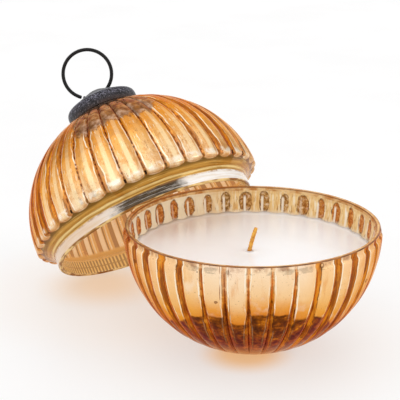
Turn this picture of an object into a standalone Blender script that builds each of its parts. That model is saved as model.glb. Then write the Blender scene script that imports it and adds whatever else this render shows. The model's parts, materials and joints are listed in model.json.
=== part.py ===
"""Ribbed glass ball candle: a round bowl of wax, with the ball's capped upper half leaning on it.

The bowl stands on the ground plane at the origin. The lid leans against the bowl's rim at the
back left, with the low side of its collar on the ground. Everything on the lid is built in the
lid's own frame, whose origin is the centre of the collar's lip and whose +Z runs up to the cap.
"""

import math

import bmesh
import bpy
from mathutils import Matrix, Vector

MM = 0.001

# Ball
RIB_COUNT = 36
RIB_HEIGHT = 0.5 * MM
FLUTE_HEIGHT = 0.3 * MM
SIDES = 2 * RIB_COUNT
GAP = 0.3 * MM

# Bowl
BOWL_RADIUS = 50.0 * MM
BOWL_HEIGHT = 48.4 * MM
BOWL_CENTRE_Z = 47.4 * MM
BOWL_WALL = 2.2 * MM
BOWL_FLOOR = 3.5 * MM
BOWL_RIB_TURN = math.radians(3.5)
RIM_RADIUS = 49.6 * MM
RIM_WALL = 1.6 * MM
RIM_BEVEL = 0.3 * MM
RIM_BAND = 1.6 * MM
FLUTE_DROP = 2.4 * MM

# Candle
WAX_DROP = 11.5 * MM
WICK_X = -1.0 * MM
WICK_RADIUS = 0.9 * MM
WICK_LENGTH = 9.6 * MM
WICK_LEAN = 2.6 * MM
WICK_BEND = 1.2
TAB_RADIUS = 10.0 * MM
TAB_THICKNESS = 0.5 * MM
TAB_FILLET = 0.5 * MM
TAB_COLLAR_RADIUS = 2.0 * MM
TAB_COLLAR_HEIGHT = 5.0 * MM
PAD_RADIUS = 8.0 * MM
PAD_THICKNESS = 0.8 * MM

# Lid
LID_TILT = math.radians(40.6)
LID_AZIMUTH = math.radians(130.0)
LID_OFFSET = 62.4 * MM
LID_PLACE_AZIMUTH = math.radians(131.3)
LID_CLEARANCE = 0.15 * MM
LID_RIB_TURN = math.radians(6.4)
COLLAR_RADIUS = 44.6 * MM
COLLAR_WALL = 1.8 * MM
COLLAR_HEIGHT = 5.0 * MM
LIP_BEVEL = 0.4 * MM
SHOULDER_WALL_RISE = 1.4 * MM
DOME_CENTRE_Z = 9.8 * MM
DOME_RADIUS = 50.6 * MM
DOME_RISE = 49.0 * MM
DOME_WALL = 2.0 * MM
NECK_RADIUS = 8.5 * MM
NECK_WALL = 1.8 * MM
NECK_TOP_Z = 60.6 * MM

# Cap
CAP_RADIUS = 16.0 * MM
CAP_BASE_Z = 57.0 * MM
CAP_SHOULDER_Z = 61.2 * MM
CAP_ROUND = 1.0 * MM
CAP_ROUND_RISE = 1.8 * MM
CAP_CROWN_Z = 69.0 * MM
CAP_CROWN_RADIUS = 3.4 * MM
CAP_SHEET = 0.6 * MM
CEMENT_RADIUS = 14.9 * MM
CEMENT_TOP_Z = 62.4 * MM
CEMENT_BEVEL = 2.0 * MM

# Ring
RING_RADIUS = 10.8 * MM
WIRE_RADIUS = 0.7 * MM
RING_HALF_CHORD = 4.6 * MM
RING_TURN = math.radians(54.1)
RING_LEAN = math.radians(20.6)
RING_SPLIT_ANGLE = math.radians(36.0)
RING_SPLIT = 1.1 * MM
RING_STEPS = 60
SLOT_LENGTH = 4.6 * MM
SLOT_WIDTH = 3.6 * MM
SLOT_DEPTH = 5.0 * MM
SLOT_END_STEPS = 8


def clear_scene():
    for obj in list(bpy.data.objects):
        bpy.data.objects.remove(obj)


def make_material(name, colour, roughness, metallic):
    material = bpy.data.materials.new(name)
    material.use_nodes = True
    shader = material.node_tree.nodes["Principled BSDF"]
    shader.inputs["Base Color"].default_value = (*colour, 1.0)
    shader.inputs["Roughness"].default_value = roughness
    shader.inputs["Metallic"].default_value = metallic
    return material


def add_object(name, mesh, material, parent=None, location=(0.0, 0.0, 0.0)):
    """Links a new object that holds the mesh, placed under its parent."""
    obj = bpy.data.objects.new(name, mesh)
    bpy.context.scene.collection.objects.link(obj)
    obj.location = location
    obj.parent = parent
    if material is not None:
        mesh.materials.append(material)
    return obj


def make_cutter(obj):
    obj.hide_render = True
    obj.display_type = "WIRE"
    return obj


def cut(obj, cutter):
    boolean = obj.modifiers.new(f"cut_{cutter.name}", "BOOLEAN")
    boolean.operation = "DIFFERENCE"
    boolean.solver = "EXACT"
    boolean.object = make_cutter(cutter)


def turned_mesh(name, outline, closed, sides=SIDES, rib_turn=0.0):
    """Turns an outline about Z. Its points are (radius, z, rib height), in order round the section.

    A closed outline makes a ring; an open one starts and ends on the axis. The rib height is
    added on even sides and taken off on odd ones, so that ribs and grooves alternate.
    """
    bm = bmesh.new()
    rows = []
    for radius, z, rib in outline:
        if radius < 1e-7:
            rows.append([bm.verts.new((0.0, 0.0, z))])
            continue
        row = []
        for side in range(sides):
            angle = rib_turn + math.tau * side / sides
            r = radius + rib * math.cos(math.pi * side)
            row.append(bm.verts.new((r * math.cos(angle), r * math.sin(angle), z)))
        rows.append(row)
    pairs = list(zip(rows, rows[1:]))
    if closed:
        pairs.append((rows[-1], rows[0]))
    for first, second in pairs:
        for side in range(sides):
            after = (side + 1) % sides
            corners = [first[side % len(first)], first[after % len(first)]]
            corners += [second[after % len(second)], second[side % len(second)]]
            bm.faces.new(list(dict.fromkeys(corners)))
    bmesh.ops.recalc_face_normals(bm, faces=bm.faces)
    mesh = bpy.data.meshes.new(name)
    bm.to_mesh(mesh)
    bm.free()
    mesh.shade_smooth()
    mesh.set_sharp_from_angle(angle=math.radians(40))
    return mesh


def arc(radius, rise, centre_z, start, end, steps, rib=0.0):
    """Points of an upright ellipse, whose angles are measured up from its widest level."""
    points = []
    for step in range(steps + 1):
        angle = start + (end - start) * step / steps
        points.append((radius * math.cos(angle), centre_z + rise * math.sin(angle), rib))
    return points


def level(z, centre_z, rise):
    """The angle at which an upright ellipse reaches the height z."""
    return math.asin((z - centre_z) / rise)


def smooth(point):
    """The same outline point, with no rib."""
    radius, z, _ = point
    return (radius, z, 0.0)


def s_curve(start, end, steps, rib=0.0):
    """Points from the start to the end, which leave and arrive straight up; the rib is on the last."""
    points = []
    for step in range(steps + 1):
        part = step / steps
        swell = 0.5 * (1.0 - math.cos(math.pi * part))
        radius = start[0] + (end[0] - start[0]) * swell
        points.append((radius, start[1] + (end[1] - start[1]) * part, rib * (step == steps)))
    return points


def wire_curve(name, points, radius):
    """A round wire through the points, as a curve with filled caps."""
    curve = bpy.data.curves.new(name, "CURVE")
    curve.dimensions = "3D"
    curve.bevel_depth = radius
    curve.bevel_resolution = 2
    curve.use_fill_caps = True
    spline = curve.splines.new("POLY")
    spline.points.add(len(points) - 1)
    for target, point in zip(spline.points, points):
        target.co = (*point, 1.0)
    return curve


def build_bowl(glass):
    """The bowl: ribbed outside, softly fluted inside, with a flat foot and a smooth thin rim."""
    centre = BOWL_CENTRE_Z
    inner = BOWL_RADIUS - BOWL_WALL
    rim_inner = RIM_RADIUS - RIM_WALL
    foot_angle = level(0.0, centre, BOWL_RADIUS)
    rim_angle = level(BOWL_HEIGHT - RIM_BAND, centre, BOWL_RADIUS)
    flute_angle = level(BOWL_HEIGHT - FLUTE_DROP, centre, inner)
    floor_angle = level(BOWL_FLOOR, centre, inner)
    outside = arc(BOWL_RADIUS, BOWL_RADIUS, centre, foot_angle, rim_angle, 9, RIB_HEIGHT)
    outside[0] = smooth(outside[0])
    inside = arc(inner, inner, centre, flute_angle, floor_angle, 7, FLUTE_HEIGHT)
    inside[-1] = smooth(inside[-1])
    rim = [
        (RIM_RADIUS, BOWL_HEIGHT - 0.5 * RIM_BAND, 0.0),
        (RIM_RADIUS - RIM_BEVEL, BOWL_HEIGHT, 0.0),
        (rim_inner, BOWL_HEIGHT, 0.0),
        (rim_inner - 0.5 * RIM_BEVEL, BOWL_HEIGHT - 0.5 * RIM_BAND, 0.0),
    ]
    outline = [(0.0, 0.0, 0.0)] + outside + rim + inside + [(0.0, BOWL_FLOOR, 0.0)]
    mesh = turned_mesh("bowl_glass", outline, closed=False, rib_turn=BOWL_RIB_TURN)
    return add_object("bowl_glass", mesh, glass)


def build_wick_base(tin, foam):
    """The adhesive pad and the pressed tin tab that hold the wick upright on the bowl's floor."""
    pad_low = BOWL_FLOOR + GAP
    pad_high = pad_low + PAD_THICKNESS
    pad = [(0.0, pad_low, 0.0), (PAD_RADIUS, pad_low, 0.0)]
    pad += [(PAD_RADIUS, pad_high, 0.0), (0.0, pad_high, 0.0)]
    place = (WICK_X, 0.0, 0.0)
    mesh = turned_mesh("sustainer_pad", pad, closed=False, sides=32)
    add_object("sustainer_pad", mesh, foam, location=place)

    tab_low = pad_high + GAP
    tab_high = tab_low + TAB_THICKNESS
    collar_top = tab_low + TAB_COLLAR_HEIGHT
    bore = WICK_RADIUS + GAP
    tab = [
        (bore, tab_low, 0.0),
        (TAB_RADIUS, tab_low, 0.0),
        (TAB_RADIUS, tab_high, 0.0),
        (TAB_COLLAR_RADIUS + TAB_FILLET, tab_high, 0.0),
        (TAB_COLLAR_RADIUS, tab_high + TAB_FILLET, 0.0),
        (TAB_COLLAR_RADIUS, collar_top, 0.0),
        (bore, collar_top, 0.0),
    ]
    mesh = turned_mesh("wick_sustainer", tab, closed=True, sides=32)
    add_object("wick_sustainer", mesh, tin, location=place)
    return tab_low, tab_high, collar_top


def build_wax(wax, tab_high, collar_top):
    """The wax, poured round the tab and the wick, so it has a recess under it and a bore."""
    top = BOWL_HEIGHT - WAX_DROP
    low = BOWL_FLOOR + GAP
    radius = BOWL_RADIUS - BOWL_WALL - FLUTE_HEIGHT - GAP
    low_angle = level(low, BOWL_CENTRE_Z, radius)
    top_angle = level(top, BOWL_CENTRE_Z, radius)
    side = arc(radius, radius, BOWL_CENTRE_Z, low_angle, top_angle, 7)
    outline = [(0.0, low, 0.0)] + side + [(0.0, top, 0.0)]
    body = add_object("wax_fill", turned_mesh("wax_fill", outline, closed=False), wax)

    bore = WICK_RADIUS + GAP
    beyond = 2.0 * MM
    recess = [
        (0.0, low - beyond, 0.0),
        (TAB_RADIUS + GAP, low - beyond, 0.0),
        (TAB_RADIUS + GAP, tab_high + GAP, 0.0),
        (TAB_COLLAR_RADIUS + TAB_FILLET + GAP, tab_high + GAP, 0.0),
        (TAB_COLLAR_RADIUS + GAP, tab_high + TAB_FILLET + GAP, 0.0),
        (TAB_COLLAR_RADIUS + GAP, collar_top + GAP, 0.0),
        (bore, collar_top + GAP, 0.0),
        (bore, top + beyond, 0.0),
        (0.0, top + beyond, 0.0),
    ]
    mesh = turned_mesh("wick_recess", recess, closed=False, sides=32)
    cut(body, add_object("wick_recess", mesh, None, location=(WICK_X, 0.0, 0.0)))
    return top


def build_wick(cotton, tab_low, wax_top):
    """The trimmed wick: upright in the wax, then leaning over to +X above it."""
    middle = 0.5 * (tab_low + wax_top)
    points = [(WICK_X, 0.0, tab_low), (WICK_X, 0.0, middle)]
    bend_steps = 10
    for step in range(bend_steps + 1):
        part = step / bend_steps
        x = WICK_X + WICK_LEAN * part**WICK_BEND
        points.append((x, 0.0, wax_top + WICK_LENGTH * part))
    add_object("wick", wire_curve("wick", points, WICK_RADIUS), cotton)


def lid_frame():
    """The empty at the centre of the lid's lip, turned so that its +Z leans back over the ground."""
    frame = bpy.data.objects.new("lid_frame", None)
    bpy.context.scene.collection.objects.link(frame)
    lift = (COLLAR_RADIUS - LIP_BEVEL) * math.sin(LID_TILT) + LID_CLEARANCE
    azimuth = LID_PLACE_AZIMUTH
    place = (LID_OFFSET * math.cos(azimuth), LID_OFFSET * math.sin(azimuth), lift)
    turn = Matrix.Rotation(LID_AZIMUTH, 4, "Z") @ Matrix.Rotation(LID_TILT, 4, "Y")
    frame.matrix_world = Matrix.Translation(Vector(place)) @ turn
    return frame


def build_lid_glass(glass, frame):
    """Dome, shoulder and collar, blown as one piece, with a short neck under the cap."""
    centre = DOME_CENTRE_Z
    inner = DOME_RADIUS - DOME_WALL
    inner_rise = DOME_RISE - DOME_WALL
    collar_inner = COLLAR_RADIUS - COLLAR_WALL
    neck_inner = NECK_RADIUS - NECK_WALL
    rib_end = math.acos((CAP_RADIUS + 0.5 * MM) / DOME_RADIUS)
    neck_angle = math.acos((NECK_RADIUS + 0.5 * MM) / DOME_RADIUS)
    neck_inner_angle = math.acos(neck_inner / inner)

    lip_low = (COLLAR_RADIUS - LIP_BEVEL, 0.0, 0.0)
    lip_high = (COLLAR_RADIUS, LIP_BEVEL, 0.0)
    collar_top = (COLLAR_RADIUS, COLLAR_HEIGHT)
    outline = [lip_low, lip_high]
    outline += s_curve(collar_top, (DOME_RADIUS, centre), 6, RIB_HEIGHT)
    outline += arc(DOME_RADIUS, DOME_RISE, centre, 0.0, rib_end, 10, RIB_HEIGHT)[1:-1]
    outline += arc(DOME_RADIUS, DOME_RISE, centre, rib_end, neck_angle, 3)
    outline += [(NECK_RADIUS, NECK_TOP_Z, 0.0), (neck_inner, NECK_TOP_Z, 0.0)]

    inner_collar_top = (collar_inner, COLLAR_HEIGHT + SHOULDER_WALL_RISE)
    inside = s_curve(inner_collar_top, (inner, centre), 6, FLUTE_HEIGHT)
    inside += arc(inner, inner_rise, centre, 0.0, rib_end, 8, FLUTE_HEIGHT)[1:-1]
    inside += arc(inner, inner_rise, centre, rib_end, neck_inner_angle, 3)
    outline += reversed(inside)
    outline += [(collar_inner, LIP_BEVEL, 0.0), (collar_inner + LIP_BEVEL, 0.0, 0.0)]
    mesh = turned_mesh("lid_glass", outline, closed=True, rib_turn=LID_RIB_TURN)
    return add_object("lid_glass", mesh, glass, parent=frame)


def cap_slope_z(radius):
    """The height of the cap's outer face on the slope between its shoulder and its crown."""
    low_radius = CAP_RADIUS - CAP_ROUND
    low_z = CAP_SHOULDER_Z + CAP_ROUND_RISE
    part = (low_radius - radius) / (low_radius - CAP_CROWN_RADIUS)
    return low_z + part * (CAP_CROWN_Z - low_z)


def build_cap(zinc, frame):
    """The pressed cap: an upright skirt, a sloping top and a small flat crown with two slots."""
    outside = [(CAP_RADIUS, CAP_BASE_Z, 0.0)]
    for step in range(4):
        angle = 0.5 * math.pi * step / 3
        radius = CAP_RADIUS - CAP_ROUND * (1.0 - math.cos(angle))
        outside.append((radius, CAP_SHOULDER_Z + CAP_ROUND_RISE * math.sin(angle), 0.0))
    outside.append((CAP_CROWN_RADIUS + CAP_ROUND, cap_slope_z(CAP_CROWN_RADIUS + CAP_ROUND), 0.0))
    outside += [(CAP_CROWN_RADIUS, CAP_CROWN_Z, 0.0), (0.0, CAP_CROWN_Z, 0.0)]
    inside = [(CAP_RADIUS - CAP_SHEET, CAP_BASE_Z, 0.0)]
    for radius, z, _ in outside[1:-1]:
        inside.append((radius - CAP_SHEET, z - CAP_SHEET, 0.0))
    inside.append((0.0, CAP_CROWN_Z - CAP_SHEET, 0.0))
    outline = list(reversed(outside)) + inside
    mesh = turned_mesh("cap_shell", outline, closed=False, sides=48)
    cap = add_object("cap_shell", mesh, zinc, parent=frame)
    for side, name in ((-1, "slot_left"), (1, "slot_right")):
        cut(cap, build_slot(name, side, frame))
    return cap


def build_slot(name, side, frame):
    """A round-ended cutter, long in the direction of the ring's axis."""
    half_run = 0.5 * (SLOT_LENGTH - SLOT_WIDTH)
    end_radius = 0.5 * SLOT_WIDTH
    bm = bmesh.new()
    outline = []
    for end in (1, -1):
        for step in range(SLOT_END_STEPS + 1):
            angle = math.pi * (step / SLOT_END_STEPS - 0.5)
            x = end * (half_run + end_radius * math.cos(angle))
            y = end * end_radius * math.sin(angle)
            outline.append(bm.verts.new((x, y, CAP_CROWN_Z - SLOT_DEPTH)))
    face = bm.faces.new(outline)
    raised = bmesh.ops.extrude_face_region(bm, geom=[face])
    moved = [item for item in raised["geom"] if isinstance(item, bmesh.types.BMVert)]
    bmesh.ops.translate(bm, verts=moved, vec=(0.0, 0.0, 1.4 * SLOT_DEPTH))
    bmesh.ops.recalc_face_normals(bm, faces=bm.faces)
    mesh = bpy.data.meshes.new(name)
    bm.to_mesh(mesh)
    bm.free()
    cutter = add_object(name, mesh, None, parent=frame)
    reach = side * RING_HALF_CHORD
    cutter.location = (reach * math.cos(RING_TURN), reach * math.sin(RING_TURN), 0.0)
    cutter.rotation_euler = (0.0, 0.0, RING_TURN)
    return cutter


def build_cement(cement, frame):
    """The plug of cement between the neck and the cap, which closes the neck."""
    neck = NECK_RADIUS + GAP
    edge_angle = math.acos(CEMENT_RADIUS / DOME_RADIUS)
    neck_angle = math.acos((neck + GAP) / DOME_RADIUS)
    outline = [(0.0, NECK_TOP_Z + GAP, 0.0), (neck, NECK_TOP_Z + GAP, 0.0)]
    outline += arc(DOME_RADIUS, DOME_RISE + GAP, DOME_CENTRE_Z, neck_angle, edge_angle, 3)
    outline.append((CEMENT_RADIUS, CEMENT_TOP_Z - CEMENT_BEVEL, 0.0))
    outline += [(CEMENT_RADIUS - CEMENT_BEVEL, CEMENT_TOP_Z, 0.0), (0.0, CEMENT_TOP_Z, 0.0)]
    mesh = turned_mesh("cap_cement", outline, closed=False, sides=48)
    return add_object("cap_cement", mesh, cement, parent=frame)


def build_ring(iron, frame):
    """The split ring through the crown's slots. Its origin is on the line that it swings about."""
    chord_drop = math.sqrt(RING_RADIUS**2 - RING_HALF_CHORD**2)
    swing_z = cap_slope_z(RING_HALF_CHORD) - 0.5 * CAP_SHEET
    half_gap = 0.5 * RING_SPLIT / RING_RADIUS
    start = -0.5 * math.pi - RING_SPLIT_ANGLE + half_gap
    end = start + math.tau - 2.0 * half_gap
    points = []
    for step in range(RING_STEPS + 1):
        angle = start + (end - start) * step / RING_STEPS
        x = RING_RADIUS * math.cos(angle)
        points.append((x, 0.0, chord_drop + RING_RADIUS * math.sin(angle)))
    ring = add_object("hanging_ring", wire_curve("hanging_ring", points, WIRE_RADIUS), iron)
    ring.parent = frame
    turn = Matrix.Rotation(RING_TURN + math.pi, 4, "Z") @ Matrix.Rotation(RING_LEAN, 4, "X")
    ring.matrix_local = Matrix.Translation(Vector((0.0, 0.0, swing_z))) @ turn
    return ring


def main():
    clear_scene()
    amber_glass = make_material("amber_glass", (0.80, 0.45, 0.14), 0.12, 0.6)
    candle_wax = make_material("candle_wax", (0.86, 0.83, 0.80), 0.45, 0.0)
    cotton = make_material("cotton", (0.82, 0.55, 0.18), 0.9, 0.0)
    tinplate = make_material("tinplate", (0.62, 0.62, 0.63), 0.3, 1.0)
    foam = make_material("foam", (0.85, 0.85, 0.82), 0.9, 0.0)
    zinc = make_material("zinc", (0.09, 0.09, 0.10), 0.55, 0.8)
    cement = make_material("cement", (0.62, 0.58, 0.52), 0.9, 0.0)
    iron = make_material("iron", (0.02, 0.02, 0.02), 0.4, 0.8)

    build_bowl(amber_glass)
    tab_low, tab_high, collar_top = build_wick_base(tinplate, foam)
    wax_top = build_wax(candle_wax, tab_high, collar_top)
    build_wick(cotton, tab_low, wax_top)

    frame = lid_frame()
    build_lid_glass(amber_glass, frame)
    build_cement(cement, frame)
    build_cap(zinc, frame)
    build_ring(iron, frame)


main()
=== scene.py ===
"""Looks of the ribbed glass ball candle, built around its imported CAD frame.

The glass is mercury glass: silvered, stained amber and lacquered, so it reads as a bright amber
metal under a clear coat. Its ribs, scalloped rib ends, flutes and rim are real geometry. Meshes
are in metres in the world. Each one also keeps its own coordinates in millimetres, which its
shader draws with.
"""

import json
import math

import bpy
import numpy as np
from mathutils import Matrix, Vector


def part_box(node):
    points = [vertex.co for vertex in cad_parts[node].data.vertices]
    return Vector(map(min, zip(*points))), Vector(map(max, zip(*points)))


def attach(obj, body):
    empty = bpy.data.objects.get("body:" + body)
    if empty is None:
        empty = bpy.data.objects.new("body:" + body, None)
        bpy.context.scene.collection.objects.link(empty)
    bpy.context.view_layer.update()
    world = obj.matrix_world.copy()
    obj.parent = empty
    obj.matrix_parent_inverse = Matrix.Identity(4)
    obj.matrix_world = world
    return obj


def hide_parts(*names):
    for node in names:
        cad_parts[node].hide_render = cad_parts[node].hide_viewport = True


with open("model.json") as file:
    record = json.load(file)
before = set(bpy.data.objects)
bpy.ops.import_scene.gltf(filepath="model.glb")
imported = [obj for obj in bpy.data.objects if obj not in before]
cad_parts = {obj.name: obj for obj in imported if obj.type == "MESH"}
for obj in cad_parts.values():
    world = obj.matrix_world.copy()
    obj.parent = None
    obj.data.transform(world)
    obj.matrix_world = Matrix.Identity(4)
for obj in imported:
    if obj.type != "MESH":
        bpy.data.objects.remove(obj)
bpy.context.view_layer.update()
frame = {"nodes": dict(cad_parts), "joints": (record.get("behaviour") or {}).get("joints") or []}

MM = 0.001

# A turned outline ends this near the axis, and a fan of faces closes it
AXIS_GAP = 0.3 * MM

# Ribs: a crest stands RIB_DEPTH - RIB_SINK proud of the turned outline
RIB_COUNT = 36
RIB_SAMPLES = 16
RIB_DEPTH = 1.0 * MM
RIB_SINK = 0.62 * MM

# Bowl
BOWL_RADIUS = 50.0 * MM
BOWL_CENTRE_DROP = 1.0 * MM
BOWL_WALL = 2.2 * MM
BOWL_FLOOR = 3.5 * MM
BOWL_RIB_TURN = math.radians(3.5)
RIM_RADIUS = 49.6 * MM
RIM_WALL = 1.6 * MM
RIM_ROUND = 0.35 * MM
RIM_BAND = 1.6 * MM
FOOT_RING = 3.5 * MM
PUNT_DEPTH = 1.0 * MM
FLUTE_DEPTH = 0.4 * MM
FLUTE_START = 0.7 * MM
FLUTE_END = 3.0 * MM
FLUTE_WIDTH = 0.66

# Candle
WAX_DROP = 11.5 * MM
WAX_GAP = 0.06 * MM
MENISCUS = 0.7 * MM
WICK_RADIUS = 0.9 * MM
STRAND_RADIUS = 0.46 * MM
STRAND_REACH = 0.42 * MM
STRAND_PITCH = 3.6 * MM

# Lid, in its own frame
LID_RIB_TURN = math.radians(6.4)
COLLAR_RADIUS = 44.6 * MM
COLLAR_WALL = 1.8 * MM
COLLAR_HEIGHT = 5.0 * MM
SHOULDER_WALL_RISE = 1.4 * MM
LIP_ROUND = 0.8 * MM
DOME_CENTRE_Z = 9.8 * MM
DOME_RADIUS = 50.6 * MM
DOME_RISE = 49.0 * MM
DOME_WALL = 2.0 * MM
NECK_RADIUS = 8.5 * MM
NECK_WALL = 1.8 * MM
NECK_TOP_Z = 60.6 * MM
SCALLOP_Z = 8.4 * MM
SCALLOP_RISE = 0.8 * MM
SCALLOP_ROUND = 1.7 * MM
LID_FLUTE_WIDTH = 0.8

# Cap
CAP_RADIUS = 16.0 * MM
CAP_BASE_Z = 57.0 * MM
CAP_SHOULDER_Z = 61.2 * MM
CAP_ROUND = 1.0 * MM
CAP_ROUND_RISE = 1.8 * MM
CAP_CROWN_Z = 69.0 * MM
CAP_CROWN_RADIUS = 3.4 * MM
CAP_SHEET = 0.6 * MM
SLOT_LENGTH = 4.6 * MM
SLOT_WIDTH = 3.6 * MM
SLOT_DEPTH = 5.0 * MM

# Ring. RING_CENTRE_RADIUS places its centre as in the CAD. The dip's two angles are measured from
# the ring's lowest point.
RING_RADIUS = 10.69 * MM
RING_CENTRE_RADIUS = 10.8 * MM
RING_HALF_CHORD = 4.6 * MM
WIRE_RADIUS = 0.79 * MM
RING_SPLIT = 0.7 * MM
RING_SPLIT_ANGLE = math.radians(36.0)
RING_DIP = 0.7 * MM
RING_DIP_FULL = math.radians(16.0)
RING_DIP_START = math.radians(32.0)

# Camera
CAMERA_BACK = 475.2 * MM
CAMERA_HEIGHT = 207.8 * MM
CAMERA_TURN = math.radians(2.456)
CAMERA_DOWN = math.radians(17.543)
CAMERA_ROLL = math.radians(-0.163)
CAMERA_LENS = 115.86

# Floor, with its pools of warm light in millimetres: centre, inner radius and outer radius
FLOOR_HALF_SIDE = 3.0
FLOOR_EMISSION = 0.64
BOWL_GLOW = ((0.0, 0.0), 30.0, 85.0)
BOWL_CONTACT = ((-2.0, -16.0), 6.0, 21.0)
LID_GLOW = ((-60.0, 50.0), 40.0, 80.0)
LID_CONTACT = ((-66.0, 56.0), 4.0, 34.0)

# Directions round the lid's own axis: the side that faces the camera, and the middle of the painted
# dark reflection by the cap
LID_FRONT = math.radians(145.0)
LID_DARK_REFLECTION = math.radians(149.0)


# Colour and node helpers


def srgb(red, green, blue):
    """A linear colour from an 8-bit screen colour."""
    channels = []
    for value in (red, green, blue):
        value /= 255.0
        channels.append(value / 12.92 if value <= 0.04045 else ((value + 0.055) / 1.055) ** 2.4)
    return (*channels, 1.0)


class Value:
    """A node's output. Arithmetic with it adds the nodes that work it out."""

    def __init__(self, tree, socket):
        self.tree = tree
        self.socket = socket

    def __add__(self, other):
        return self.tree.math("ADD", self, other)

    def __sub__(self, other):
        return self.tree.math("SUBTRACT", self, other)

    def __rsub__(self, other):
        return self.tree.math("SUBTRACT", other, self)

    def __mul__(self, other):
        return self.tree.math("MULTIPLY", self, other)

    def __truediv__(self, other):
        return self.tree.math("DIVIDE", self, other)

    def __pow__(self, other):
        return self.tree.math("POWER", self, other)

    def __abs__(self):
        return self.tree.math("ABSOLUTE", self)

    def ramp(self, low, high, to_low=0.0, to_high=1.0, smooth=True):
        """This value carried from the range low..high to to_low..to_high, held at the ends."""
        shape = "SMOOTHSTEP" if smooth else "LINEAR"
        return self.tree.value("ShaderNodeMapRange", (self, low, high, to_low, to_high),
                               clamp=True, interpolation_type=shape)

    def near(self, centre, half, soft):
        """1 where this value is within half of centre, fading out over soft."""
        return abs(self - centre).ramp(half, half + soft, 1.0, 0.0)

    def mix(self, share, other):
        """This colour where share is 0, and the other one where it is 1."""
        return self.tree.mix(share, self, other)

    def stops(self, low, high, *stops):
        """A colour ramp from low to high. Each stop is (position, colour), from 0 to 1."""
        share = self.ramp(low, high, smooth=False)
        node = self.tree.node("ShaderNodeValToRGB", (share,))
        elements = node.color_ramp.elements
        while len(elements) < len(stops):
            elements.new(0.5)
        for element, (position, colour) in zip(elements, stops):
            element.position = position
            element.color = colour
        return Value(self.tree, node.outputs[0])

    def split(self):
        """The three parts of a vector or a colour."""
        node = self.tree.node("ShaderNodeSeparateXYZ", (self,))
        return [Value(self.tree, socket) for socket in node.outputs]


class Tree:
    """A node tree, with short calls for the nodes that the looks here are made of."""

    def __init__(self, node_tree):
        self.nodes = node_tree.nodes
        self.links = node_tree.links

    def plug(self, socket, value):
        """Links a value to a socket, or sets the socket to a constant."""
        if isinstance(value, Value):
            self.links.new(value.socket, socket)
        elif value is not None:
            socket.default_value = value

    def node(self, kind, inputs, **settings):
        """A new node. Its inputs are in order, or in a dictionary by name or number."""
        node = self.nodes.new(kind)
        for key, value in settings.items():
            setattr(node, key, value)
        if not isinstance(inputs, dict):
            inputs = dict(enumerate(inputs))
        for key, value in inputs.items():
            self.plug(node.inputs[key], value)
        return node

    def value(self, kind, inputs=(), output=0, **settings):
        """One output of a new node, by name or number."""
        return Value(self, self.node(kind, inputs, **settings).outputs[output])

    def math(self, operation, *values):
        """One Math node."""
        return self.value("ShaderNodeMath", values, operation=operation)

    def mix(self, share, first, second):
        """The first colour where share is 0, and the second where it is 1."""
        inputs = {0: share, 6: first, 7: second}
        return self.value("ShaderNodeMix", inputs, 2, data_type="RGBA", clamp_factor=True)

    def join(self, x, y, z):
        """A vector made of three values."""
        return self.value("ShaderNodeCombineXYZ", (x, y, z))

    def scaled(self, vector, x, y, z):
        """A vector with each part scaled on its own."""
        return self.value("ShaderNodeVectorMath", (vector, (x, y, z)), operation="MULTIPLY")

    def noise(self, vector, scale, detail=3.0, rough=0.55):
        """Cloudy noise from 0 to 1."""
        inputs = {"Vector": vector, "Scale": scale, "Detail": detail, "Roughness": rough}
        return self.value("ShaderNodeTexNoise", inputs)

    def cells(self, vector, scale):
        """The distance to the nearest of many scattered points, and a random colour for it."""
        node = self.node("ShaderNodeTexVoronoi", {"Vector": vector, "Scale": scale})
        return Value(self, node.outputs["Distance"]), Value(self, node.outputs["Color"])

    def random(self, value, seed):
        """Three random numbers that stay the same for each whole value."""
        inputs = {"Vector": self.join(value, seed, 0.0)}
        return self.value("ShaderNodeTexWhiteNoise", inputs, "Color", noise_dimensions="2D").split()

    def bump(self, height, strength, distance):
        """A normal that follows a height, whose 1 stands for distance."""
        inputs = {"Height": height, "Strength": strength, "Distance": distance}
        return self.value("ShaderNodeBump", inputs)


class Look(Tree):
    """A material's tree, round its Principled shader."""

    def __init__(self, name):
        self.material = bpy.data.materials.new(name)
        self.material.use_nodes = True
        super().__init__(self.material.node_tree)
        self.shader = self.nodes["Principled BSDF"]

    def attribute(self, name):
        """A vector that is stored in the mesh."""
        return self.value("ShaderNodeAttribute", output="Vector", attribute_name=name)

    def millimetres(self):
        """The object's own coordinates in millimetres, for a piece with no stored attribute."""
        own = self.value("ShaderNodeTexCoord", output="Object")
        return self.scaled(own, 1000.0, 1000.0, 1000.0)

    def finish(self, **inputs):
        """Sets the shader's sockets, named with _ for a space, and gives the material."""
        for key, value in inputs.items():
            self.plug(self.shader.inputs[key.replace("_", " ")], value)
        return self.material


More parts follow.
